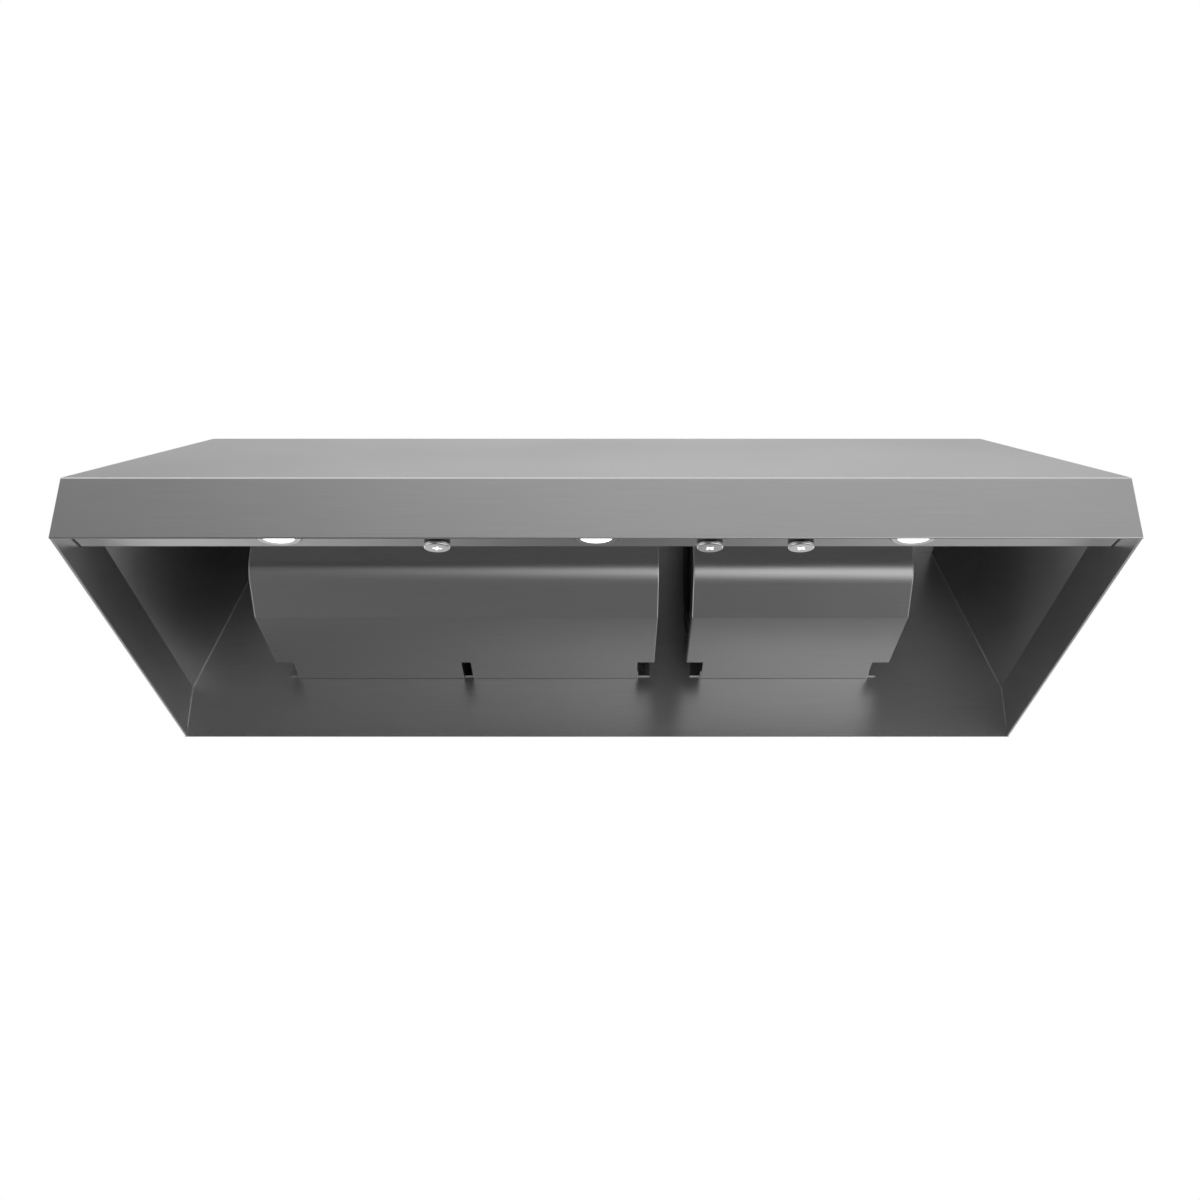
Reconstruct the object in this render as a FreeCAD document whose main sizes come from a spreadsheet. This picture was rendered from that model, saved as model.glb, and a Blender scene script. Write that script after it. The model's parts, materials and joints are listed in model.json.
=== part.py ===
import FreeCAD, Part
import math
import os
import re
import Sketcher

# Under cabinet range hood, millimetres. +Z is up, the front faces -Y and +X is to the right of
# someone who stands in front. The origin is in the plane of the rim, below the middle of the body.

DIMENSIONS = [
    # canopy
    ("width", 1066.8), ("depth", 521), ("height", 273), ("sheet", 1.2), ("band", 69.2),
    ("front_run", 238), ("side_run", 70.5), ("bend", 2.0), ("hem", 12), ("gap", 0.2),
    # tilted panel with the lamps and knobs
    ("panel_front", 20), ("panel_reach", 76.5), ("tilt", 10), ("panel_flange", 24),
    ("fitting_line", 46.5), ("lamp_pitch", 322), ("lens_radius", 16.4), ("ring_radius", 23.6),
    ("ring_drop", 0.8), ("can_radius", 21.4), ("can_height", 20), ("lamp_hole", 21.9),
    ("panel_gap", 0.7), ("panel_bend", 1.0),
    ("knob_left", -160.7), ("knob_middle", 115), ("knob_right", 207), ("knob_radius", 13.8),
    ("knob_height", 12.1), ("knob_round", 1.6), ("spindle", 3), ("spindle_rise", 14),
    ("skirt_radius", 13.4), ("skirt_height", 8.2), ("skirt_gap", 0.8),
    ("switch_side", 28), ("switch_height", 20), ("bushing", 4.8), ("bushing_hole", 5),
    ("mark_reach", 5.2), ("mark_drop", 0.3), ("running", 0.05),
    # blower covers
    ("dual_left", -414.3), ("dual_right", 74.3), ("single_left", 115), ("single_right", 377.3),
    ("cover_face", 282), ("cover_bottom", 82), ("crease", 339.1), ("facet", 31),
    ("cover_bend", 32), ("cover_crease", 2), ("cover_edge", 1.6), ("border", 12),
    ("cover_headroom", 0.5), ("cover_rear", 519), ("notch_wide", 22), ("notch_deep", 50.2),
    ("slot_middle", -169), ("slot_wide", 12),
    # cover hinge at the hooks
    ("hinge_back", 506.5), ("hinge_height", 85.5), ("pin", 1.5), ("ear", 3.3),
    ("ear_gap", 0.4), ("arm", 2.3),
    ("tab_wide", 10.5), ("tab_thick", 2.5), ("tab_foot", 85), ("tab_top", 108),
    ("web_height", 6), ("pin_reach", 2), ("hook_dual_left", -400.2), ("hook_dual_right", 64),
    ("hook_single_left", 127.9), ("hook_single_right", 362.2),
    # fans
    ("fan_back", 400), ("fan_height", 180), ("fan_wide", 150), ("fan_sheet", 1),
    ("fan_margin", 2.2), ("scroll_start", 82), ("scroll_step", 10), ("tongue", 35),
    ("inlet", 57), ("inlet_hole", 62), ("inlet_flange", 83), ("inlet_reach", 13),
    ("wheel_radius", 72), ("wheel_inner", 60), ("wheel_long", 116), ("wheel_offset", 52),
    ("hub", 11), ("hub_long", 18), ("blades", 40), ("shaft", 4), ("shaft_hole", 14),
    ("motor_radius", 46), ("dual_motor_long", 110), ("single_motor_long", 84),
    ("motor_boss", 12), ("boss_long", 8), ("strap", 2), ("strap_wide", 30), ("foot", 15),
    # duct collars and dampers
    ("duct", 74.8), ("duct_wall", 1), ("duct_rise", 30), ("duct_flange", 90),
    ("damper_height", 18), ("damper_gap", 0.8), ("damper_sheet", 0.8), ("stop_lip", 1.6),
    ("rod", 1.6), ("knuckle", 3.2), ("knuckle_split", 22), ("knuckle_end", 66),
    # fixings
    ("mount_x", 430), ("mount_front", 270), ("mount_back", 470), ("mount_hole", 4),
    ("strip_wide", 28), ("strip_thick", 2), ("knockout", 11.1), ("knockout_x", -200),
    ("knockout_back", 310), ("screw", 1.5), ("screw_head", 3.4), ("screw_ring", 82),
]

doc = FreeCAD.newDocument("RangeHood")
dims = doc.addObject("Spreadsheet::Sheet", "Dims")
for row, (alias, number) in enumerate(DIMENSIONS, start=1):
    dims.set("A%d" % row, alias)
    dims.set("B%d" % row, str(number))
    dims.setAlias("B%d" % row, alias)
doc.recompute()

ALIASES = {alias for alias, number in DIMENSIONS}
AXES = {"X": FreeCAD.Vector(1, 0, 0), "Y": FreeCAD.Vector(0, 1, 0), "Z": FreeCAD.Vector(0, 0, 1)}
FAR = "2*width"
subparts = []


# ---------------------------------------------------------------- expressions and features

def full(text):
    """The expression with every alias written as a reference to its cell."""
    return re.sub(r"[a-z]\w*",
                  lambda word: "Dims." + word[0] if word[0] in ALIASES else word[0], str(text))


def value(text):
    """What the expression gives now."""
    return float(dims.evalExpression(str(text)))


def bind(thing, path, text):
    thing.setExpression(path, full(text))


def place(thing, x="0", y="0", z="0", axis="Z", angle="0"):
    """Bind a placement: where the piece's own origin stands, and its turn about one axis."""
    thing.Placement = FreeCAD.Placement(FreeCAD.Vector(value(x), value(y), value(z)),
                                        FreeCAD.Rotation(AXES[axis], value(angle)))
    bind(thing, "Placement.Base.x", x)
    bind(thing, "Placement.Base.y", y)
    bind(thing, "Placement.Base.z", z)
    bind(thing, "Placement.Rotation.Angle", angle)


def new_body(name, **placing):
    made = doc.addObject("PartDesign::Body", name)
    made.Label = name
    place(made, **placing)
    subparts.append(made)
    return made


def sketch(body, plane, offset="0"):
    """An empty sketch on one of the body's own planes, moved along that plane's normal."""
    drawn = body.newObject("Sketcher::SketchObject", body.Name + "_sketch")
    origin = {feature.Role: feature for feature in body.Origin.OriginFeatures}
    drawn.AttachmentSupport = [(origin[plane + "_Plane"], "")]
    drawn.MapMode = "FlatFace"
    bind(drawn, "AttachmentOffset.Base.z", offset)
    return drawn


def pin_down(drawn, edge, point, x, y):
    """Constrain one point of a sketch to two expressions, measured from its origin."""
    for kind, text in (("DistanceX", x), ("DistanceY", y)):
        number = drawn.addConstraint(Sketcher.Constraint(kind, -1, 1, edge, point, value(text)))
        drawn.setExpression("Constraints[%d]" % number, full(text))


def hold_radius(drawn, edge, text):
    number = drawn.addConstraint(Sketcher.Constraint("Radius", edge, value(text)))
    drawn.setExpression("Constraints[%d]" % number, full(text))


def outline(drawn, corners):
    """A closed outline. A corner is (x, y), or (x, y, radius, side) where an arc leads to the
    next corner and bulges to the left (+1) or the right (-1) of the way there."""
    places = [FreeCAD.Vector(value(corner[0]), value(corner[1]), 0) for corner in corners]
    edges = []
    for corner, begin, end in zip(corners, places, places[1:] + places[:1]):
        if len(corner) == 2:
            edge = drawn.addGeometry(Part.LineSegment(begin, end))
        else:
            radius, side = value(corner[2]), corner[3]
            chord = end - begin
            sag = radius - math.sqrt(radius ** 2 - (chord.Length / 2) ** 2)
            across = FreeCAD.Vector(-chord.y, chord.x, 0).normalize()
            edge = drawn.addGeometry(Part.Arc(begin, (begin + end) / 2 + across * side * sag, end))
        starts_here = drawn.getPoint(edge, 1).distanceToPoint(begin) < 1e-6
        edges.append((edge, 1 if starts_here else 2, 2 if starts_here else 1))
    for (edge, first, last), (following, start, finish) in zip(edges, edges[1:] + edges[:1]):
        drawn.addConstraint(Sketcher.Constraint("Coincident", edge, last, following, start))
    for corner, (edge, first, last) in zip(corners, edges):
        pin_down(drawn, edge, first, corner[0], corner[1])
        if len(corner) == 4:
            hold_radius(drawn, edge, corner[2])


def circle(drawn, x, y, radius):
    centre = FreeCAD.Vector(value(x), value(y), 0)
    edge = drawn.addGeometry(Part.Circle(centre, AXES["Z"], value(radius)))
    pin_down(drawn, edge, 3, x, y)
    hold_radius(drawn, edge, radius)


def rectangle(drawn, x0, y0, x1, y1):
    outline(drawn, [(x0, y0), (x1, y0), (x1, y1), (x0, y1)])


def extrude(body, kind, drawn, length, side, back):
    feature = body.newObject("PartDesign::" + kind, body.Name + "_" + kind.lower())
    feature.Profile = drawn
    feature.SideType = side
    feature.Reversed = back
    bind(feature, "Length", length)
    return feature


def pad(body, drawn, length, side="One side", back=False):
    """Add a prism, along the sketch's normal unless it goes back or both ways."""
    return extrude(body, "Pad", drawn, length, side, back)


def cut(body, drawn, length=FAR, side="Symmetric", along=False):
    """Take a prism away, against the sketch's normal unless it goes along or both ways."""
    doc.recompute()
    before = body.Shape.Volume
    feature = extrude(body, "Pocket", drawn, length, side, along)
    doc.recompute()
    if body.Shape.Volume > before - 0.01:
        raise RuntimeError(body.Label + ": a pocket cuts nothing")
    return feature


def spin(body, corners, plane="XZ"):
    """A turned shape about the body's own Z. The corners are (radius, height)."""
    drawn = sketch(body, plane)
    outline(drawn, corners)
    feature = body.newObject("PartDesign::Revolution", body.Name + "_turned")
    feature.Profile = drawn
    feature.ReferenceAxis = (drawn, ["V_Axis"])
    feature.Angle = 360
    return feature


def polar(body, feature, occurrences):
    """Repeat a feature round the body's own Z."""
    pattern = body.newObject("PartDesign::PolarPattern", body.Name + "_pattern")
    origin = {plane.Role: plane for plane in body.Origin.OriginFeatures}
    pattern.Originals = [feature]
    pattern.Axis = (origin["Z_Axis"], [""])
    pattern.Angle = 360
    bind(pattern, "Occurrences", occurrences)
    body.Tip = pattern
    return pattern


def fillet(body, middles, radius):
    """Round the edges whose middle points are given as (x, y, z)."""
    doc.recompute()
    wanted = [FreeCAD.Vector(*[value(part) for part in middle]) for middle in middles]
    base = body.Tip
    names = []
    for index, edge in enumerate(base.Shape.Edges, start=1):
        middle = edge.valueAt((edge.FirstParameter + edge.LastParameter) / 2)
        if any(middle.distanceToPoint(point) < 0.05 for point in wanted):
            names.append("Edge%d" % index)
    if len(names) != len(wanted):
        raise RuntimeError(body.Label + ": an edge to round is missing")
    feature = body.newObject("PartDesign::Fillet", body.Name + "_fillet")
    feature.Base = (base, names)
    bind(feature, "Radius", radius)
    return feature


def cylinder(name, radius, length, **placing):
    made = doc.addObject("Part::Cylinder", name)
    bind(made, "Radius", radius)
    bind(made, "Height", length)
    place(made, **placing)
    return made


def block(name, low, high):
    """A box between two corners, each given as three expressions."""
    made = doc.addObject("Part::Box", name)
    for size, small, large in zip(("Length", "Width", "Height"), low, high):
        bind(made, size, "(%s) - (%s)" % (large, small))
    place(made, *low)
    return made


def cut_from(name, base, tools):
    """The base less every tool, one boolean after another."""
    for number, tool in enumerate(tools):
        result = doc.addObject("Part::Cut", "%s_cut%d" % (name, number))
        result.Base = base
        result.Tool = tool
        base = result
    return base


def fused(name, pieces):
    made = doc.addObject("Part::MultiFuse", name)
    made.Shapes = pieces
    return made


def sub_part(name, made):
    made.Label = name
    subparts.append(made)


def group(name, pieces):
    """Small pieces that stay separate solids of one sub-part."""
    made = doc.addObject("Part::Compound", name)
    made.Links = pieces
    sub_part(name, made)


# ---------------------------------------------------------------- places used by many pieces

FRONT = "-depth/2"
BACK = "depth/2"
CEILING = "(height - sheet)"
RISE = "(height - band)"


def behind(text):
    """A distance behind the front band's outer face, as a Y coordinate."""
    return "(%s - depth/2)" % text


def wall_length(run):
    return "sqrt(%s^2 + %s^2)" % (run, RISE)


def wall_profile(edge, run, inward):
    """Section of a canopy wall: hemmed rim, vertical band, fold and slope up to the ceiling.
    The edge is the band's outer face; inward is + or -."""
    at = lambda distance: "%s %s (%s)" % (edge, inward, distance)
    turn = 1 if inward == "+" else -1
    slope_end = "%s*(%s - band)/%s" % (run, CEILING, RISE)
    wall = "sheet*%s/%s" % (wall_length(run), RISE)
    fold = "band - sheet*(%s - %s)/%s" % (wall_length(run), RISE, run)
    return [(at("0"), "sheet"), (at("0"), "band"), (at(slope_end), CEILING),
            (at(slope_end + " + " + wall), CEILING), (at("sheet"), fold),
            (at("sheet"), "hem"), (at("2*sheet"), "hem"),
            (at("2*sheet"), "sheet", "sheet", turn), (at("sheet"), "0", "sheet", turn)]


# ---------------------------------------------------------------- canopy

def front_panel():
    body = new_body("front_panel")
    profile = sketch(body, "YZ")
    corners = wall_profile(FRONT, "front_run", "+")
    outline(profile, corners)
    pad(body, profile, "width", "Symmetric")
    fillet(body, [("0", FRONT, "band")], "bend + sheet")
    fillet(body, [("0",) + corners[4]], "bend")
    trims = sketch(body, "XZ")
    for side in ("", "-"):
        outline(trims, [(side + "width/2", "band"), (side + "(width/2 - side_run)", "height"),
                        (side + "(width/2 + 5)", "height"), (side + "(width/2 + 5)", "band")])
    cut(body, trims)
    hem_ends = sketch(body, "XZ", "depth/2 - sheet")
    for side in ("", "-"):
        rectangle(hem_ends, side + "(width/2 - 2*sheet)", "-1", side + "(width/2 + 1)", "hem + 1")
    cut(body, hem_ends, "2*sheet", "One side")


def side_panel(name, edge, inward):
    body = new_body(name)
    profile = sketch(body, "XZ", "depth/2 - sheet")
    corners = wall_profile(edge, "side_run", inward)
    outline(profile, corners)
    pad(body, profile, "depth - 2*sheet", back=True)
    fillet(body, [(edge, "0", "band")], "bend + sheet")
    fillet(body, [(corners[4][0], "0", corners[4][1])], "bend")
    front = wall_profile(FRONT, "front_run", "+")
    ahead = sketch(body, "YZ")
    outline(ahead, [front[4], front[3], (behind("-5"), CEILING), (behind("-5"), front[4][1])])
    cut(body, ahead)


def back_panel():
    body = new_body("back_panel")
    shape = sketch(body, "XZ", "sheet - depth/2")
    slope_end = "(width/2 - side_run*(%s - band)/%s)" % (CEILING, RISE)
    outline(shape, [("-width/2", "0"), ("width/2", "0"), ("width/2", "band"),
                    (slope_end, CEILING), ("-" + slope_end, CEILING), ("-width/2", "band")])
    pad(body, shape, "sheet", back=True)


def top_panel():
    body = new_body("top_panel")
    shape = sketch(body, "XY", CEILING)
    rectangle(shape, "side_run - width/2", behind("front_run"), "width/2 - side_run", BACK)
    for fan in FANS.values():
        circle(shape, fan["x"], DUCT_Y, "duct - duct_wall")
        for turn in (45, 135, 225, 315):
            circle(shape, "%s + screw_ring*cos(%d)" % (fan["x"], turn),
                   "%s + screw_ring*sin(%d)" % (DUCT_Y, turn), "screw")
    for side in ("", "-"):
        for line in ("mount_front", "mount_back"):
            circle(shape, side + "mount_x", behind(line), "mount_hole")
    circle(shape, "knockout_x", behind("knockout_back"), "knockout")
    pad(body, shape, "sheet")


def mount_strips():
    strips = []
    for number, side in enumerate(("-", "")):
        low = ("%smount_x - strip_wide/2" % side, behind("mount_front - 25"),
               CEILING + " - strip_thick")
        high = ("%smount_x + strip_wide/2" % side, behind("mount_back + 25"), CEILING)
        holes = [cylinder("mount_strip_hole", "mount_hole", "20",
                          x=side + "mount_x", y=behind(line), z="height - 15")
                 for line in ("mount_front", "mount_back")]
        strips.append(cut_from("mount_strip%d" % number, block("mount_strip", low, high), holes))
    group("mount_strips", strips)


# ---------------------------------------------------------------- lamps and knobs

PANEL_Y = behind("sheet + gap")
TILTED = {"axis": "X", "angle": "tilt"}


def on_panel(x, drop="0"):
    """Placing of a piece whose Z is the panel's normal, from the panel's lower face."""
    return dict(TILTED, x=x,
                y="%s + fitting_line*cos(tilt) + (%s)*sin(tilt)" % (PANEL_Y, drop),
                z="panel_front + fitting_line*sin(tilt) - (%s)*cos(tilt)" % drop)


def control_panel():
    body = new_body("control_panel", y=PANEL_Y, z="panel_front", **TILTED)
    profile = sketch(body, "YZ")
    lean = "tan(tilt)"
    outline(profile, [("0", "0"), ("panel_reach", "0"), ("panel_reach", "panel_flange"),
                      ("panel_reach - sheet", "panel_flange"), ("panel_reach - sheet", "sheet"),
                      ("sheet*(1 + %s)" % lean, "sheet"),
                      ("sheet + panel_flange*" + lean, "panel_flange"),
                      ("panel_flange*" + lean, "panel_flange")])
    pad(body, profile, "width - 2*(sheet + panel_gap)", "Symmetric")
    fillet(body, [("0", "panel_reach", "0")], "panel_bend + sheet")
    fillet(body, [("0", "panel_reach - sheet", "sheet")], "panel_bend")
    holes = sketch(body, "XY")
    for x in LAMPS.values():
        circle(holes, x, "fitting_line", "lamp_hole")
    for x in KNOBS.values():
        circle(holes, x, "fitting_line", "bushing_hole")
    cut(body, holes, "panel_flange")


def lamp(name, x):
    ring = new_body("lamp_ring_" + name, **on_panel(x))
    spin(ring, [("lens_radius + gap", "0"), ("lens_radius + gap", "-ring_drop"),
                ("ring_radius - ring_drop", "-ring_drop", "ring_drop", 1),
                ("ring_radius", "0")])
    lens = new_body("lamp_lens_" + name, **on_panel(x))
    spin(lens, [("0", "gap"), ("0", "-0.7*ring_drop"), ("lens_radius - 0.5", "-0.7*ring_drop"),
                ("lens_radius", "-0.3*ring_drop"), ("lens_radius", "gap")])
    can = new_body("lamp_can_" + name, **on_panel(x))
    spin(can, [("0", "gap"), ("can_radius", "gap"), ("can_radius", "can_height/2"),
               ("can_radius - 3", "can_height/2"), ("can_radius - 3", "can_height/2 + 2"),
               ("can_radius", "can_height/2 + 2"), ("can_radius", "can_height/2 + 4"),
               ("can_radius - 3", "can_height/2 + 4"), ("can_radius - 3", "can_height/2 + 6"),
               ("can_radius", "can_height/2 + 6"), ("can_radius", "can_height"),
               ("0", "can_height")])


def knob(name, x):
    """A bright cap with its spindle, and the black skirt between the cap and the panel."""
    cap = new_body("knob_" + name, **on_panel(x))
    spin(cap, [("0", "spindle_rise"), ("0", "-knob_height"),
               ("knob_radius - knob_round", "-knob_height", "knob_round", -1),
               ("knob_radius", "knob_round - knob_height"), ("knob_radius", "-skirt_height - 0.8"),
               ("knob_radius - 0.8", "-skirt_height"), ("spindle", "-skirt_height"),
               ("spindle", "spindle_rise")])
    skirt = new_body("knob_skirt_" + name, **on_panel(x))
    spin(skirt, [("spindle", "-skirt_gap"), ("spindle", "-skirt_height"),
                 ("skirt_radius", "-skirt_height"), ("skirt_radius", "-skirt_gap")])


def knob_mark(name, x, turn):
    """Four pointed blades round a small centre, flat on the knob's face."""
    body = new_body("knob_mark_" + name, **on_panel(x, "knob_height"))
    blade = sketch(body, "XY")
    tip = ("mark_reach*cos(%d)" % turn, "mark_reach*sin(%d)" % turn)
    outline(blade, [("0", "0", "0.62*mark_reach", 1), tip + ("0.62*mark_reach", 1)])
    blade_pad = pad(body, blade, "mark_drop", back=True)
    polar(body, blade_pad, "4")


def knob_switch(name, x):
    body = new_body("knob_switch_" + name, **on_panel(x))
    box = sketch(body, "XY", "sheet")
    half = "switch_side/2"
    rectangle(box, "-" + half, "-" + half, half, half)
    pad(body, box, "switch_height - sheet")
    neck = sketch(body, "XY", "sheet")
    circle(neck, "0", "0", "bushing")
    pad(body, neck, "sheet + 0.5", back=True)
    bore = sketch(body, "XY", "-2")
    circle(bore, "0", "0", "spindle + running")
    cut(body, bore, "spindle_rise + 3", "One side", along=True)


# ---------------------------------------------------------------- blower covers

def cover(name, left, right, slots):
    """A sheet that wraps a blower: vertical front, bend, facet, crease and flat bottom, with a
    border down each side, notched at the rear corners, and hung on two small ears."""
    middle = "(%s + %s)/2" % (left, right)
    half = "(%s - %s)/2" % (right, left)
    body = new_body(name, x=middle)
    face, bottom, rear = behind("cover_face"), "cover_bottom", behind("cover_rear")
    top = CEILING + " - cover_headroom"
    knee = "cover_bottom + (crease - cover_face)*tan(facet)"
    profile = sketch(body, "YZ")
    outline(profile, [(face, top), (face, knee), (behind("crease"), bottom), (rear, bottom),
                      (rear, top)])
    pad(body, profile, "2*" + half, "Symmetric")
    inside = sketch(body, "YZ")
    corners = cover_inset(face, knee, "sheet")
    outline(inside, corners)
    cut(body, inside, "2*%s - 2*sheet" % half)
    fillet(body, [("0", face, knee)], "cover_bend")
    fillet(body, [("0",) + corners[1]], "cover_bend - sheet")
    fillet(body, [("0", behind("crease"), bottom)], "cover_crease")
    fillet(body, [("0",) + corners[2]], "cover_crease - sheet")
    round_side_edges(body, value(half))
    window = sketch(body, "YZ")
    outline(window, cover_inset(face, knee, "border"))
    cut(body, window, "4*" + half)
    gaps = sketch(body, "XY", bottom)
    start = "%s - notch_deep" % rear
    for side in ("", "-"):
        rectangle(gaps, side + "(%s - notch_wide)" % half, start,
                  side + "(%s + 5)" % half, rear + " + 5")
    for slot in slots:
        rectangle(gaps, "%s - %s - slot_wide/2" % (slot, middle), start,
                  "%s - %s + slot_wide/2" % (slot, middle), rear + " + 5")
    cut(body, gaps, "4*border")
    for side in ("", "-"):
        ear(body, side + "(%s - notch_wide)" % half, inward_back=side == "")
    bores = sketch(body, "YZ")
    circle(bores, behind("hinge_back"), "hinge_height", "pin + running")
    cut(body, bores, "4*" + half)


def cover_inset(face, knee, inset):
    """The cover's section moved inwards, and left open past the top and the rear."""
    floor = "cover_bottom + " + inset
    high, far = CEILING + " + 5", behind("cover_rear + 5")
    return [("%s + %s" % (face, inset), high),
            ("%s + %s" % (face, inset), "%s + %s*tan(45 - facet/2)" % (knee, inset)),
            (behind("crease + %s*tan(facet/2)" % inset), floor), (far, floor), (far, high)]


def round_side_edges(body, half):
    """Round the outer edges between a cover's sides and its front, facet and bottom."""
    doc.recompute()
    base = body.Tip
    top = value(CEILING + " - cover_headroom")
    rear = value(behind("cover_rear"))
    names = []
    for index, edge in enumerate(base.Shape.Edges, start=1):
        box = edge.BoundBox
        on_side = abs(abs(box.XMin) - half) < 0.01 and box.XLength < 0.01
        if on_side and box.ZMin < top - 0.01 and box.YMin < rear - 0.01:
            names.append("Edge%d" % index)
    feature = body.newObject("PartDesign::Fillet", body.Name + "_sides")
    feature.Base = (base, names)
    bind(feature, "Radius", "cover_edge")


def ear(body, x, inward_back):
    """A hinge ear that stands on the bottom sheet, one sheet thick, beside a notch."""
    drawn = sketch(body, "YZ", x)
    back, high = behind("hinge_back"), "hinge_height"
    foot = "cover_bottom + sheet/2"
    outline(drawn, [(back + " - ear", foot), (back + " + ear", foot), (back + " + ear", high),
                    (back, high + " + ear", "ear", 1), (back + " - ear", high, "ear", 1)])
    pad(body, drawn, "sheet", back=inward_back)


def cover_hooks():
    """Tabs on the back wall. All but the one in the slot have a web towards the cover's ear, an
    arm that comes forward beside the ear, and the hinge pin in the arm's rounded end."""
    wall, face = BACK + " - sheet", BACK + " - sheet - tab_thick"
    hinge = {"y": behind("hinge_back"), "z": "hinge_height", "axis": "Y", "angle": "90"}
    low, high = "hinge_height - arm", "hinge_height + arm"
    tabs = []
    for number, (middle, notch, side) in enumerate(HOOKS):
        pieces = [block("tab_plate", (middle + " - tab_wide/2", face, "tab_foot"),
                        (middle + " + tab_wide/2", wall, "tab_top"))]
        if side == "left":
            arm = ("%s - ear_gap - sheet" % notch, "%s - ear_gap" % notch)
            web = (middle, arm[1])
            pin_start = arm[0]
        elif side == "right":
            arm = ("%s + ear_gap" % notch, "%s + ear_gap + sheet" % notch)
            web = (arm[0], middle)
            pin_start = "%s - sheet - pin_reach" % notch
        if side != "slot":
            pieces += [block("tab_web", (web[0], face, "tab_foot"),
                             (web[1], wall, "tab_foot + web_height")),
                       block("tab_arm", (arm[0], hinge["y"], low), (arm[1], wall, high)),
                       cylinder("arm_end", "arm", "sheet", x=arm[0], **hinge),
                       cylinder("tab_pin", "pin", "ear_gap + 2*sheet + pin_reach",
                                x=pin_start, **hinge)]
        tabs.append(fused("cover_hook%d" % number, pieces) if len(pieces) > 1 else pieces[0])
    group("cover_hooks", tabs)


def cover_catches():
    """Spring strips under the ceiling that press on the inside of the covers' fronts."""
    strips = []
    low, start = "height - 30", "cover_face + sheet + 0.4"
    for x in ("dual_left + 158", "dual_right - 158", "single_left + 162", "single_right - 12"):
        body = doc.addObject("PartDesign::Body", "cover_catch")
        place(body, x=x)
        profile = sketch(body, "YZ")
        outline(profile, [(behind(start), low), (behind(start + " + 1"), low),
                          (behind(start + " + 1"), CEILING + " - 1"),
                          (behind(start + " + 14"), CEILING + " - 1"),
                          (behind(start + " + 14"), CEILING), (behind(start), CEILING)])
        pad(body, profile, "10", "Symmetric")
        strips.append(body)
    group("cover_catches", strips)


# ---------------------------------------------------------------- fans

FAN_Y = behind("fan_back")
DUCT_Y = "(%s + (tongue - scroll_step - scroll_start - 2*scroll_step)/2)" % FAN_Y
TURN_TO = {"+": "90", "-": "-90"}


def fan_frame(x, towards):
    """Placing of a turned piece whose own Z lies along the fan's axis."""
    return {"x": x, "y": FAN_Y, "z": "fan_height", "axis": "Y", "angle": TURN_TO[towards]}


def scroll_outline(skin, top):
    """Three quarter arcs of growing radius from the tongue, by the rear and the bottom, to the
    front, and straight walls up to the outlet. The skin is added to every radius."""
    first = "(scroll_start + %s)" % skin
    second = "(scroll_start + scroll_step + %s)" % skin
    third = "(scroll_start + 2*scroll_step + %s)" % skin
    lip = "(tongue + %s)" % skin
    front = "-scroll_step - " + third
    return [(front, top), (front, "scroll_step", third, -1),
            ("-scroll_step", "-" + second, second, -1), (first, "0", first, -1),
            (lip, "sqrt(%s^2 - %s^2)" % (first, lip)), (lip, top)]


def scroll(name, fan):
    body = new_body("scroll_" + name, x=fan["x"], y=FAN_Y, z="fan_height")
    top = CEILING + " - fan_height"
    outside = sketch(body, "YZ")
    outline(outside, scroll_outline("fan_sheet", top))
    pad(body, outside, "fan_wide", "Symmetric")
    inside = sketch(body, "YZ")
    outline(inside, scroll_outline("0", top + " + 5"))
    cut(body, inside, "fan_wide - 2*fan_sheet")
    for side, radius in ((fan["inlet"], "inlet_hole"), (fan["motor"], "shaft_hole")):
        eye = sketch(body, "YZ", side + "(fan_wide/2 - 2*fan_sheet)")
        circle(eye, "0", "0", radius)
        cut(body, eye, "5*fan_sheet", "One side", along=side == "+")


def inlet_ring(name, fan):
    """Bell mouth with a rolled rim, on the outside of the scroll."""
    body = new_body("inlet_ring_" + name,
                    **fan_frame("%s %s fan_wide/2" % (fan["x"], fan["inlet"]), fan["inlet"]))
    spin(body, [("inlet + 4 + fan_sheet", "0"), ("inlet_flange", "0"),
                ("inlet_flange", "2*fan_sheet"), ("inlet_flange - 1.5", "2*fan_sheet"),
                ("inlet_flange - 1.5", "fan_sheet"),
                ("inlet + 4 + fan_sheet", "fan_sheet", "4 + fan_sheet", 1),
                ("inlet", "-4"), ("inlet", "-inlet_reach"), ("inlet + fan_sheet", "-inlet_reach"),
                ("inlet + fan_sheet", "-4", "4", -1)])


def wheel(name, fan):
    """Squirrel cage wheel: hub and back plate, curved blades and a front rim."""
    body = new_body("wheel_" + name,
                    **fan_frame("%s %s wheel_offset" % (fan["x"], fan["motor"]), fan["inlet"]))
    spin(body, [("shaft", "-hub_long"), ("hub", "-hub_long"), ("hub", "0"),
                ("wheel_radius", "0"), ("wheel_radius", "1.5"), ("hub", "1.5"),
                ("hub", "hub_long/2"), ("shaft", "hub_long/2")])
    blade = sketch(body, "XY", "1")
    outline(blade, [("wheel_inner", "-2", "10", -1), ("wheel_radius - 0.5", "2.5"),
                    ("wheel_radius - 1", "3.6", "10", 1), ("wheel_inner - 0.2", "-0.9")])
    blade_pad = pad(body, blade, "wheel_long - 1.5")
    polar(body, blade_pad, "blades")
    rim = sketch(body, "XY", "wheel_long - 4")
    circle(rim, "0", "0", "wheel_radius")
    circle(rim, "0", "0", "wheel_radius - 1.5")
    pad(body, rim, "4")


def shaft(name, start, end):
    made = cylinder("shaft_" + name, "shaft", "(%s) - (%s)" % (end, start),
                    x=start, y=FAN_Y, z="fan_height", axis="Y", angle="90")
    sub_part("shaft_" + name, made)


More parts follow.
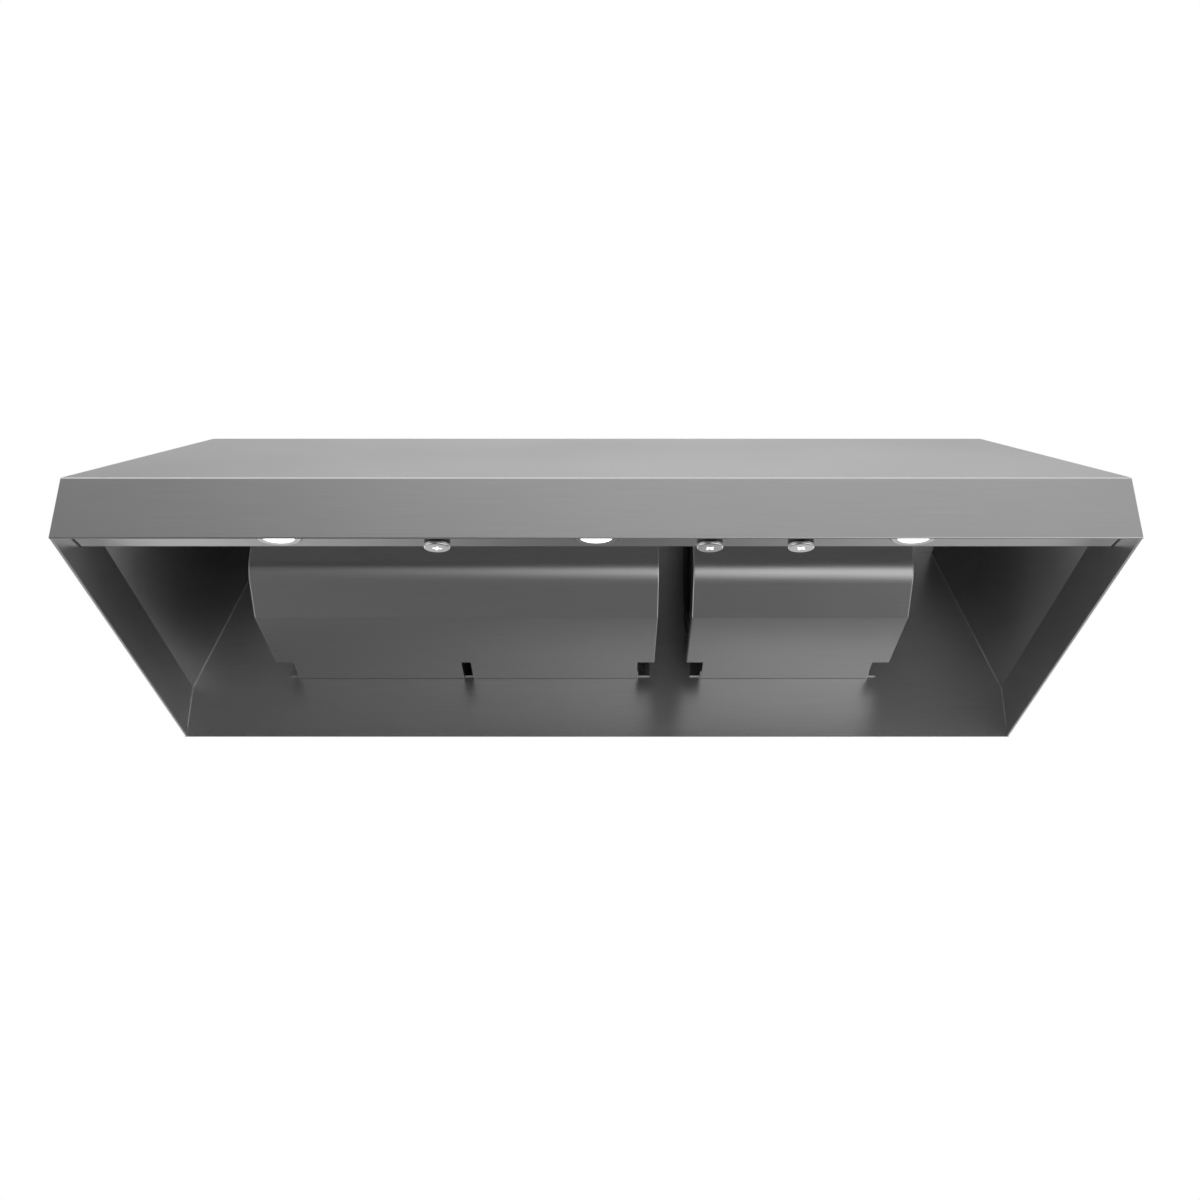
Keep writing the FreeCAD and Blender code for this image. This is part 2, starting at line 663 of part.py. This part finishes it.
def motor(name, x, length):
    body = new_body("motor_" + name, **fan_frame(x, "+"))
    half = length + "/2"
    spin(body, [("shaft + running", "-%s - boss_long" % half), ("motor_boss", "-%s - boss_long" % half),
                ("motor_boss", "-" + half), ("motor_radius - 5", "-" + half, "5", 1),
                ("motor_radius", "5 - " + half), ("motor_radius", half + " - 5", "5", 1),
                ("motor_radius - 5", half), ("motor_boss", half),
                ("motor_boss", half + " + boss_long"), ("shaft + running", half + " + boss_long")])


def motor_hanger(name, x):
    """A strap under the motor whose legs rise to two feet on the ceiling."""
    body = new_body("motor_hanger_" + name, x=x, y=FAN_Y, z="fan_height")
    top = CEILING + " - fan_height"
    inner = "(motor_radius + 0.3)"
    outer = "(motor_radius + 0.3 + strap)"
    profile = sketch(body, "YZ")
    outline(profile, [("-%s - foot" % outer, top), ("-%s - foot" % outer, top + " - strap"),
                      ("-" + outer, top + " - strap"), ("-" + outer, "0", outer, -1),
                      ("0", "-" + outer, outer, -1), (outer, "0"), (outer, top + " - strap"),
                      (outer + " + foot", top + " - strap"), (outer + " + foot", top),
                      (inner, top), (inner, "0", inner, 1), ("0", "-" + inner, inner, 1),
                      ("-" + inner, "0"), ("-" + inner, top)])
    pad(body, profile, "strap_wide", "Symmetric")


# ---------------------------------------------------------------- duct collars and dampers

DAMPER_UNDER = "(damper_height - 1.6)"
FLAP = "(duct - duct_wall - damper_gap)"
MIDDLE_BARREL = ("0", "knuckle_split - 0.5")
END_BARREL = ("knuckle_split + 0.5", "knuckle_end")


def duct_collar(name, fan):
    """A flanged tube with a stop lip inside, and the damper's rod, held in two drilled holes."""
    body = doc.addObject("PartDesign::Body", "collar_tube")
    place(body, x=fan["x"], y=DUCT_Y, z="height")
    bore, lip = "(duct - duct_wall)", "(%s - 0.4)" % DAMPER_UNDER
    spin(body, [(bore, "0"), ("duct_flange", "0"), ("duct_flange", "duct_wall"),
                ("duct", "duct_wall"), ("duct", "duct_rise"), (bore, "duct_rise"), (bore, lip),
                (bore + " - stop_lip", lip), (bore + " - stop_lip", lip + " - 1"),
                (bore, lip + " - 1")], plane="YZ")
    holes = sketch(body, "XY")
    for turn in (45, 135, 225, 315):
        circle(holes, "screw_ring*cos(%d)" % turn, "screw_ring*sin(%d)" % turn, "screw")
    cut(body, holes, "4*duct_wall")
    rod_holes = sketch(body, "YZ")
    circle(rod_holes, "0", "damper_height", "rod")
    cut(body, rod_holes, "4*duct")
    rod = cylinder("collar_rod", "rod", "2*duct - duct_wall/2",
                   x=fan["x"] + " - duct + duct_wall/4", y=DUCT_Y, z="height + damper_height",
                   axis="Y", angle="90")
    group("duct_collar_" + name, [body, rod])


def damper_flap(name, fan, side, barrels):
    """Half a disc that turns about the rod on its barrels. The other half's barrels lie in the
    notches of its straight edge."""
    body = new_body(name, x=fan["x"], y=DUCT_Y, z="height")
    out = lambda distance: "%s(%s)" % (side, distance)
    turn = -1 if side == "+" else 1
    near, clear = "knuckle - 0.6", "knuckle + 0.9"
    edge = [near if (start, end) in barrels else clear
            for start, end in (MIDDLE_BARREL, END_BARREL)]
    wide = "sqrt(%s^2 - (%s)^2)" % (FLAP, edge[1])
    plate = sketch(body, "XY", DAMPER_UNDER)
    corners = [("-" + wide, out(edge[1])), ("-knuckle_split", out(edge[1]))]
    corners += [("-knuckle_split", out(edge[0])), ("knuckle_split", out(edge[0]))]
    corners += [("knuckle_split", out(edge[1])), (wide, out(edge[1]), FLAP, turn)]
    corners += [("0", out(FLAP), FLAP, turn)]
    outline(plate, corners)
    pad(body, plate, "damper_sheet")
    for start, end in barrels:
        for mirror in (("", "-") if start != "0" else ("",)):
            barrel = sketch(body, "YZ", "0" if start == "0" else "%s(%s)" % (mirror, start))
            circle(barrel, "0", "damper_height", "knuckle")
            if start == "0":
                pad(body, barrel, "2*(%s)" % end, "Symmetric")
            else:
                pad(body, barrel, "(%s) - (%s)" % (end, start), back=mirror == "-")
    bore = sketch(body, "YZ")
    circle(bore, "0", "damper_height", "rod + running")
    cut(body, bore, "4*duct")


def collar_screws():
    screws = []
    for fan in FANS.values():
        for turn in (45, 135, 225, 315):
            spot = {"x": "%s + screw_ring*cos(%d)" % (fan["x"], turn),
                    "y": "%s + screw_ring*sin(%d)" % (DUCT_Y, turn)}
            head = cylinder("screw_head", "screw_head", "1.8", z="height + duct_wall", **spot)
            shank = cylinder("screw_shank", "screw - running", "8", z="height - 6", **spot)
            screws.append(fused("collar_screw", [head, shank]))
    group("collar_screws", screws)


# ---------------------------------------------------------------- wiring

def wiring():
    low = ("knockout_x - 44", behind("knockout_back - 22"), "height - 46")
    high = ("knockout_x + 44", behind("knockout_back + 22"), CEILING)
    inner_low = ("knockout_x - 43", behind("knockout_back - 21"), "height - 50")
    inner_high = ("knockout_x + 43", behind("knockout_back + 21"), CEILING + " - 1")
    hole = cylinder("junction_hole", "knockout + 1", "20", x="knockout_x",
                    y=behind("knockout_back"), z="height - 15")
    box = cut_from("junction_box", block("junction_outer", low, high),
                   [block("junction_inner", inner_low, inner_high), hole])
    sub_part("junction_box", box)
    lid = block("junction_lid", ("knockout_x - 44", behind("knockout_back - 22"), "height - 47.2"),
                ("knockout_x + 44", behind("knockout_back + 22"), "height - 46"))
    sub_part("junction_lid", lid)
    driver = block("led_driver", ("knockout_x + 52", behind("knockout_back - 22"), "height - 30"),
                   ("knockout_x + 98", behind("knockout_back + 22"), CEILING))
    sub_part("led_driver", driver)


# ---------------------------------------------------------------- the whole hood

HOOKS = [
    ("hook_dual_left", "(dual_left + notch_wide)", "left"),
    ("slot_middle", "", "slot"),
    ("hook_dual_right", "(dual_right - notch_wide)", "right"),
    ("hook_single_left", "(single_left + notch_wide)", "left"),
    ("hook_single_right", "(single_right - notch_wide)", "right"),
]
FANS = {
    "left": {"x": "(dual_left + fan_margin + fan_wide/2)", "inlet": "-", "motor": "+"},
    "middle": {"x": "(dual_right - fan_margin - fan_wide/2)", "inlet": "+", "motor": "-"},
    "right": {"x": "(single_left + fan_margin + fan_wide/2)", "inlet": "-", "motor": "+"},
}
LAMPS = {"left": "-lamp_pitch", "middle": "0", "right": "lamp_pitch"}
KNOBS = {"left": "knob_left", "middle": "knob_middle", "right": "knob_right"}
MARK_TURNS = {"left": 12, "middle": 45, "right": 30}
DUAL_MOTOR_X = "(dual_left + dual_right)/2"
SINGLE_MOTOR_X = "(single_right - 55)"

front_panel()
side_panel("left_side_panel", "-width/2", "+")
side_panel("right_side_panel", "width/2", "-")
back_panel()
top_panel()
mount_strips()
control_panel()
for name, x in LAMPS.items():
    lamp(name, x)
for name, x in KNOBS.items():
    knob(name, x)
    knob_mark(name, x, MARK_TURNS[name])
    knob_switch(name, x)
cover("cover_dual", "dual_left", "dual_right", ["slot_middle"])
cover("cover_single", "single_left", "single_right", [])
cover_hooks()
cover_catches()
for name, fan in FANS.items():
    scroll(name, fan)
    inlet_ring(name, fan)
    wheel(name, fan)
    duct_collar(name, fan)
    damper_flap("damper_front_" + name, fan, "-", [END_BARREL])
    damper_flap("damper_rear_" + name, fan, "+", [MIDDLE_BARREL])
shaft("dual", FANS["left"]["x"] + " + wheel_offset - hub_long/2",
      FANS["middle"]["x"] + " - wheel_offset + hub_long/2")
shaft("single", FANS["right"]["x"] + " + wheel_offset - hub_long/2",
      SINGLE_MOTOR_X + " + single_motor_long/2 + boss_long")
motor("dual", DUAL_MOTOR_X, "dual_motor_long")
motor("single", SINGLE_MOTOR_X, "single_motor_long")
motor_hanger("dual", DUAL_MOTOR_X)
motor_hanger("single", SINGLE_MOTOR_X)
collar_screws()
wiring()

doc.recompute()
for made in doc.Objects:
    if "Invalid" in made.State or "Error" in made.State:
        raise RuntimeError("%s failed: %s" % (made.Name, made.State))
for made in subparts:
    if made.Shape.isNull() or not made.Shape.isValid():
        raise RuntimeError(made.Label + " has no valid shape")

os.makedirs("parts", exist_ok=True)
for made in subparts:
    made.Shape.exportStep("parts/%s.step" % made.Label)
    print(made.Label, len(made.Shape.Solids), round(made.Shape.Volume / 1000, 2))
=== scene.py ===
import json
import math

import bpy
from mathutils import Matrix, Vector


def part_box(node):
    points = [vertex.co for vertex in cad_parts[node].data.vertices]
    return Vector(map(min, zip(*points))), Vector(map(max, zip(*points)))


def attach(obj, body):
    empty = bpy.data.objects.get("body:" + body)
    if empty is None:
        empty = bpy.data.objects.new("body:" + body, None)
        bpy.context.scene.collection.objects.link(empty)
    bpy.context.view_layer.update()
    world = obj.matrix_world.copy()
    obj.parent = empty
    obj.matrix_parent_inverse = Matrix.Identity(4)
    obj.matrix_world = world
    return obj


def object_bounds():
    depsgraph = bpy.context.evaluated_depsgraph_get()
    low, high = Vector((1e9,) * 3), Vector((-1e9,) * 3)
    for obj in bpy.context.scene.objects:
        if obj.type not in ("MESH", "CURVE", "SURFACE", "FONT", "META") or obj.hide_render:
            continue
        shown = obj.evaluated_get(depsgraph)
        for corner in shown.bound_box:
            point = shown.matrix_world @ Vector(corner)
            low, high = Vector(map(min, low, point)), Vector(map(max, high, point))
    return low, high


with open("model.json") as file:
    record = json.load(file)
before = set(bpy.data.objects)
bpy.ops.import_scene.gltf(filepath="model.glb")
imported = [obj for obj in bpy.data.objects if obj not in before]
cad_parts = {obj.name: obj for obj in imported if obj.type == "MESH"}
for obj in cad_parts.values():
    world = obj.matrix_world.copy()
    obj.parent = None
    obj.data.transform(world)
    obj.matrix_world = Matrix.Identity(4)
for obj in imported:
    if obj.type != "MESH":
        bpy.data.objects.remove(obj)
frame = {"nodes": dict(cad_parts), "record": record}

# Under cabinet range hood, seen from below and in front. Metres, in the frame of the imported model.

nodes = frame["nodes"]
cad_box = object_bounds()
low, high = cad_box
rim_front = low[1]


# ---------------------------------------------------------------- node helpers

class Shader:
    """A material with one Principled shader, built from named procedural nodes."""

    def __init__(self, name, colour, metallic, roughness, **sockets):
        self.material = bpy.data.materials.new(name)
        self.material.use_nodes = True
        self.tree = self.material.node_tree
        self.surface = self.tree.nodes["Principled BSDF"]
        self.set(Metallic=metallic, Roughness=roughness, **sockets)
        self.surface.inputs["Base Color"].default_value = tuple(colour) + (1.0,)

    def set(self, **sockets):
        for name, number in sockets.items():
            self.surface.inputs[name.replace("_", " ")].default_value = number

    def node(self, kind, **settings):
        made = self.tree.nodes.new("ShaderNode" + kind)
        for name, setting in settings.items():
            if hasattr(made, name):
                setattr(made, name, setting)
            else:
                made.inputs[name.replace("_", " ")].default_value = setting
        return made

    def link(self, source, target):
        self.tree.links.new(source, target)

    def noise(self, stretch, scale, detail=4.0):
        """Noise in object space, stretched along an axis by small factors."""
        place = self.node("TexCoord")
        mapping = self.node("Mapping")
        mapping.inputs["Scale"].default_value = stretch
        pattern = self.node("TexNoise", Scale=scale, Detail=detail)
        self.link(place.outputs["Object"], mapping.inputs["Vector"])
        self.link(mapping.outputs["Vector"], pattern.inputs["Vector"])
        return pattern.outputs["Fac"]

    def vary_colour(self, pattern, dark, light, start=0.3, end=0.7):
        ramp = self.node("ValToRGB")
        ramp.color_ramp.elements[0].position = start
        ramp.color_ramp.elements[0].color = tuple(dark) + (1.0,)
        ramp.color_ramp.elements[1].position = end
        ramp.color_ramp.elements[1].color = tuple(light) + (1.0,)
        self.link(pattern, ramp.inputs["Fac"])
        self.link(ramp.outputs["Color"], self.surface.inputs["Base Color"])

    def vary_roughness(self, pattern, smooth, rough):
        spread = self.node("MapRange")
        spread.inputs["From Min"].default_value = 0.3
        spread.inputs["From Max"].default_value = 0.7
        spread.inputs["To Min"].default_value = smooth
        spread.inputs["To Max"].default_value = rough
        self.link(pattern, spread.inputs["Value"])
        self.link(spread.outputs["Result"], self.surface.inputs["Roughness"])

    def bump(self, pattern, strength, distance):
        bump = self.node("Bump", Strength=strength, Distance=distance)
        self.link(pattern, bump.inputs["Height"])
        self.link(bump.outputs["Normal"], self.surface.inputs["Normal"])


def grey(level):
    return (level, level, level)


# ---------------------------------------------------------------- materials

def brushed_steel():
    """Fine satin grain that runs along the hood's width and blurs reflections across it."""
    made = Shader("brushed_steel", grey(0.6), 0.81, 0.3, Anisotropic=0.6, Anisotropic_Rotation=0.25)
    along = made.node("CombineXYZ", X=1.0, Y=0.02)
    made.link(along.outputs["Vector"], made.surface.inputs["Tangent"])
    grain = made.noise((0.6, 60.0, 60.0), 22.0, 6.0)
    clouds = made.noise((1.0, 1.0, 1.0), 3.0, 2.0)
    made.vary_colour(grain, grey(0.57), grey(0.62))
    made.vary_roughness(clouds, 0.28, 0.32)
    made.bump(grain, 0.03, 0.0004)
    return made.material


def pressed_steel():
    """Bright pressed sheet of the hooks and catches."""
    made = Shader("pressed_steel", grey(0.7), 1.0, 0.3)
    made.vary_roughness(made.noise((1.0, 1.0, 1.0), 60.0), 0.24, 0.36)
    return made.material


def galvanised():
    """Dull zinc with a soft spangle."""
    made = Shader("galvanised", grey(0.5), 1.0, 0.42)
    place = made.node("TexCoord")
    spangle = made.node("TexVoronoi", Scale=90.0)
    made.link(place.outputs["Object"], spangle.inputs["Vector"])
    made.vary_colour(spangle.outputs["Color"], grey(0.42), grey(0.58), 0.2, 0.8)
    made.vary_roughness(made.noise((1.0, 1.0, 1.0), 25.0), 0.36, 0.5)
    return made.material


def speckled(name, colour, metallic, roughness, scale, spread=0.12):
    """A plain finish with slight variation in tone, roughness and surface."""
    made = Shader(name, colour, metallic, roughness)
    pattern = made.noise((1.0, 1.0, 1.0), scale)
    made.vary_colour(pattern, [part * (1 - spread) for part in colour],
                     [min(1.0, part * (1 + spread)) for part in colour])
    made.vary_roughness(pattern, roughness * 0.85, roughness * 1.15)
    made.bump(pattern, 0.04, 0.0003)
    return made.material


def lamp_lens():
    made = Shader("lamp_lens", grey(1.0), 0.0, 0.35, Emission_Strength=3.0)
    made.surface.inputs["Emission Color"].default_value = (1.0, 1.0, 1.0, 1.0)
    pattern = made.noise((1.0, 1.0, 1.0), 400.0)
    made.vary_colour(pattern, grey(0.95), grey(1.0))
    return made.material


# The knob's white mark glows a little (emission): painted brightness on a mark that is no lamp.
def white_mark_painted_glow():
    made = Shader("white_mark_painted_glow", grey(1.0), 0.0, 0.4, Emission_Strength=0.9)
    made.surface.inputs["Emission Color"].default_value = (1.0, 1.0, 1.0, 1.0)
    made.vary_colour(made.noise((1.0, 1.0, 1.0), 600.0), grey(0.96), grey(1.0))
    return made.material


MATERIALS = {
    "stainless": brushed_steel(),
    "galvanised": galvanised(),
    "hook": pressed_steel(),
    "blower": speckled("black_paint", grey(0.08), 0.0, 0.5, 60.0),
    "wheel": speckled("zinc_blades", grey(0.4), 1.0, 0.45, 40.0),
    "damper": speckled("mill_aluminium", grey(0.75), 1.0, 0.35, 30.0),
    "shaft": speckled("ground_steel", grey(0.62), 1.0, 0.2, 120.0),
    "screw": speckled("screw_steel", grey(0.6), 1.0, 0.3, 200.0),
    "motor": speckled("black_enamel", grey(0.03), 0.0, 0.4, 80.0),
    "driver": speckled("pale_plastic", (0.72, 0.72, 0.7), 0.0, 0.5, 90.0, 0.05),
    "lamp_ring": speckled("satin_chrome", grey(0.5), 1.0, 0.22, 150.0, 0.04),
    "lamp_lens": lamp_lens(),
    "lamp_can": speckled("cast_aluminium", grey(0.5), 1.0, 0.5, 150.0),
    "knob": speckled("knob_steel", grey(0.62), 1.0, 0.14, 250.0, 0.04),
    # The knob's skirt is near-black and glossy: a painted dark reflection standing in for the dark
    # surroundings a polished metal cylinder mirrors.
    "knob_skirt": speckled("skirt_painted_dark_reflection", grey(0.012), 0.0, 0.1, 200.0),
    "mark": white_mark_painted_glow(),
    "switch_body": speckled("dark_plastic", grey(0.06), 0.0, 0.5, 150.0),
}


def dress_nodes():
    """Give every node of the frame the material of its slot."""
    for part in frame["record"]["subparts"]:
        slots = nodes[part["node"]].material_slots
        for place in slots:
            place.material = MATERIALS[part["material_slot"]]


# ---------------------------------------------------------------- pieces

SIDES = (("left", -1), ("right", 1))
SHEET = 0.0012
PANEL_TILT = math.radians(10)
PANEL_UP = Vector((0, -math.sin(PANEL_TILT), math.cos(PANEL_TILT)))
PANEL_ALONG = Vector((0, math.cos(PANEL_TILT), math.sin(PANEL_TILT)))


def finish_piece(made, material):
    """Smooth shading, a material and a slot for a piece fixed to the canopy."""
    made.data.materials.append(material)
    for face in made.data.polygons:
        face.use_smooth = True
    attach(made, "hood")


def outer_face(side, towards):
    """Where the side panel's outer face stands across the width."""
    panel_low, panel_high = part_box(side + "_side_panel")
    return panel_low.x if towards < 0 else panel_high.x


# Size of the black ring of painted shade round each lamp's trim ring.
SHADE_LINE_RADIUS = 0.0239
SHADE_LINE_THICK = 0.0003
SHADE_LINE_STEPS_ROUND = 96
SHADE_LINE_STEPS_ACROSS = 10
RING_DROP = 0.0008


def lamp_ring_shade_line(side, painted_shade_finish):
    """Thin black ring round a lamp's trim ring: painted shade for the dark gap between the trim ring
    and the panel.
    """
    ring_low, ring_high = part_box("lamp_ring_" + side)
    centre = (ring_low + ring_high) / 2 + PANEL_UP * RING_DROP / 2
    bpy.ops.mesh.primitive_torus_add(location=centre, rotation=(PANEL_TILT, 0, 0),
                                     major_radius=SHADE_LINE_RADIUS, minor_radius=SHADE_LINE_THICK,
                                     major_segments=SHADE_LINE_STEPS_ROUND,
                                     minor_segments=SHADE_LINE_STEPS_ACROSS)
    made = bpy.context.object
    made.name = "lamp_ring_shade_line_" + side
    finish_piece(made, painted_shade_finish)


PANEL_FRONT = 0.02
PANEL_REACH = 0.0765
END_GAP = 0.0016
END_THICK = 0.0003


def panel_gap_shade(side, towards, painted_shade_finish):
    """Black strip in the gap between the control panel's end and the side panel: painted shade for
    that gap.
    """
    across = outer_face(side, towards) - towards * (SHEET + END_GAP / 2)
    start = Vector((across, rim_front + SHEET, PANEL_FRONT))
    centre = start + PANEL_ALONG * PANEL_REACH / 2 - PANEL_UP * END_THICK / 2
    bpy.ops.mesh.primitive_cube_add(size=1, location=centre, rotation=(PANEL_TILT, 0, 0))
    made = bpy.context.object
    made.name = "panel_gap_shade_" + side
    made.scale = (END_GAP, PANEL_REACH - 2 * SHEET, END_THICK)
    bpy.ops.object.transform_apply(location=False, rotation=False, scale=True)
    finish_piece(made, painted_shade_finish)


SEAM_RADIUS = 0.00055
SEAM_INSET = 0.0002
SEAM_START = 0.003
FOLD_HEIGHT = 0.0692
SLOPE_RUN = 0.0705
SLOPE_WALL = 0.0013
CANOPY_HEIGHT = 0.273


def corner_seam_highlight(side, towards, steel):
    """Ground seam up the canopy's inner rear corner, from the rim over the fold to the top. Its
    pale, partly diffuse finish paints the corner's bright highlight line.
    """
    outer = outer_face(side, towards)
    wall = outer - towards * (SHEET + SEAM_INSET)
    slope_top = outer - towards * (SLOPE_RUN + SLOPE_WALL)
    rear = high[1] - SHEET - SEAM_INSET
    route = [(wall, rear, SEAM_START), (wall, rear, FOLD_HEIGHT - SEAM_INSET),
             (slope_top, rear, CANOPY_HEIGHT - 2 * SHEET)]
    curve = bpy.data.curves.new("seam_line", "CURVE")
    curve.dimensions = "3D"
    curve.bevel_depth = SEAM_RADIUS
    curve.bevel_resolution = 2
    line = curve.splines.new("POLY")
    line.points.add(len(route) - 1)
    for point, place in zip(line.points, route):
        point.co = place + (1.0,)
    drawn = bpy.data.objects.new("seam_line", curve)
    bpy.context.scene.collection.objects.link(drawn)
    mesh = bpy.data.meshes.new_from_object(drawn)
    bpy.data.objects.remove(drawn)
    made = bpy.data.objects.new("corner_seam_highlight_" + side, mesh)
    bpy.context.scene.collection.objects.link(made)
    finish_piece(made, steel)


def add_pieces():
    """Small trim that shows only as lines: black rings and strips of painted shade round the lamps
    and at the panel's ends, and ground seams whose pale finish paints the corners' highlight lines.
    """
    # Near-black finish of the painted shade lines round the lamps and at the panel's ends.
    painted_shade_finish = speckled("black_painted_shade", grey(0.02), 0.0, 0.6, 300.0)
    for side in ("left", "middle", "right"):
        lamp_ring_shade_line(side, painted_shade_finish)
    # Pale, partly diffuse seam finish: a painted highlight along the inner rear corners.
    steel = speckled("seam_painted_highlight", grey(0.75), 0.4, 0.45, 200.0)
    for side, towards in SIDES:
        panel_gap_shade(side, towards, painted_shade_finish)
        corner_seam_highlight(side, towards, steel)


# ---------------------------------------------------------------- studio

def direction(azimuth, elevation):
    """Unit vector towards a place round the hood. Azimuth 0 is the front, 90 the right."""
    turn, rise = math.radians(azimuth), math.radians(elevation)
    return Vector((math.sin(turn) * math.cos(rise), -math.cos(turn) * math.cos(rise),
                   math.sin(rise)))


# Soft light boxes far away: azimuth, elevation, the angle at which each has faded out, and its
# brightness at the middle. They add to the room's own level, up to the brightest.
ROOM_LEVEL = 0.15
BRIGHTEST = 1.3
OVERHEAD = (10, 80, 55, 1.4)
FRONT_HIGH = (20, 30, 35, 0.2)
REAR_LEFT = (-150, 0, 35, 1.1)
REAR_RIGHT = (150, 0, 35, 1.0)
LOW_FRONT = (40, -25, 50, 1.3)
LOW_LEFT = (-90, -30, 45, 1.0)
LOW_RIGHT = (90, -30, 45, 0.8)
SOFTBOXES = (OVERHEAD, FRONT_HIGH, REAR_LEFT, REAR_RIGHT, LOW_FRONT, LOW_LEFT, LOW_RIGHT)


def studio_world():
    """Plain white to look at. The light that falls on the hood comes from the softboxes."""
    world = bpy.data.worlds.new("studio")
    bpy.context.scene.world = world
    world.use_nodes = True
    tree = world.node_tree
    background = tree.nodes["Background"]
    place = tree.nodes.new("ShaderNodeTexCoord")
    total = None
    for azimuth, elevation, end, strength in SOFTBOXES:
        towards = tree.nodes.new("ShaderNodeVectorMath")
        towards.operation = "DOT_PRODUCT"
        towards.inputs[1].default_value = direction(azimuth, elevation)
        tree.links.new(place.outputs["Generated"], towards.inputs[0])
        box = tree.nodes.new("ShaderNodeMapRange")
        box.interpolation_type = "SMOOTHERSTEP"
        box.inputs["From Min"].default_value = math.cos(math.radians(end))
        box.inputs["From Max"].default_value = 1.0
        box.inputs["To Min"].default_value = 0.0
        box.inputs["To Max"].default_value = strength
        tree.links.new(towards.outputs["Value"], box.inputs["Value"])
        adding = tree.nodes.new("ShaderNodeMath")
        adding.operation = "ADD"
        tree.links.new(box.outputs["Result"], adding.inputs[0])
        if total is None:
            adding.inputs[1].default_value = ROOM_LEVEL
        else:
            tree.links.new(total, adding.inputs[1])
        total = adding.outputs["Value"]
    limit = tree.nodes.new("ShaderNodeMath")
    limit.operation = "MINIMUM"
    limit.inputs[1].default_value = BRIGHTEST
    tree.links.new(total, limit.inputs[0])
    rays = tree.nodes.new("ShaderNodeLightPath")
    seen = tree.nodes.new("ShaderNodeMix")
    seen.data_type = "FLOAT"
    seen.inputs["B"].default_value = 1.0
    tree.links.new(rays.outputs["Is Camera Ray"], seen.inputs["Factor"])
    tree.links.new(limit.outputs["Value"], seen.inputs["A"])
    tree.links.new(seen.outputs["Result"], background.inputs["Strength"])
    background.inputs["Color"].default_value = (1.0, 1.0, 1.0, 1.0)


FLOOR_DROP = 1.45
FLOOR_SIZE = 16.0
FLOOR_GLOW = 0.45


def floor():
    """Pale floor well below the hood. It takes no part in the reflections."""
    bpy.ops.mesh.primitive_plane_add(size=FLOOR_SIZE, location=(0, 0, low[2] - FLOOR_DROP))
    made = bpy.context.object
    made.name = "floor"
    finish = Shader("pale_floor", grey(0.85), 0.0, 0.8, Emission_Strength=FLOOR_GLOW)
    finish.surface.inputs["Emission Color"].default_value = (1.0, 1.0, 1.0, 1.0)
    made.data.materials.append(finish.material)
    made.visible_glossy = False
    made.visible_diffuse = False


# The camera stands below the rim and in front of it, and looks up at the middle of the hood.
CAMERA_RIGHT = 0.0039
CAMERA_AHEAD = 1.2209
CAMERA_BELOW = 0.693
CAMERA_PITCH = 27.12
CAMERA_LENS = 43.2


def camera():
    data = bpy.data.cameras.new("camera")
    data.lens = CAMERA_LENS
    made = bpy.data.objects.new("camera", data)
    bpy.context.scene.collection.objects.link(made)
    made.location = (CAMERA_RIGHT, rim_front - CAMERA_AHEAD, low[2] - CAMERA_BELOW)
    made.rotation_euler = (math.radians(90 + CAMERA_PITCH), 0, 0)
    bpy.context.scene.camera = made


dress_nodes()
add_pieces()
studio_world()
floor()
camera()
bpy.context.scene.view_settings.view_transform = "Standard"
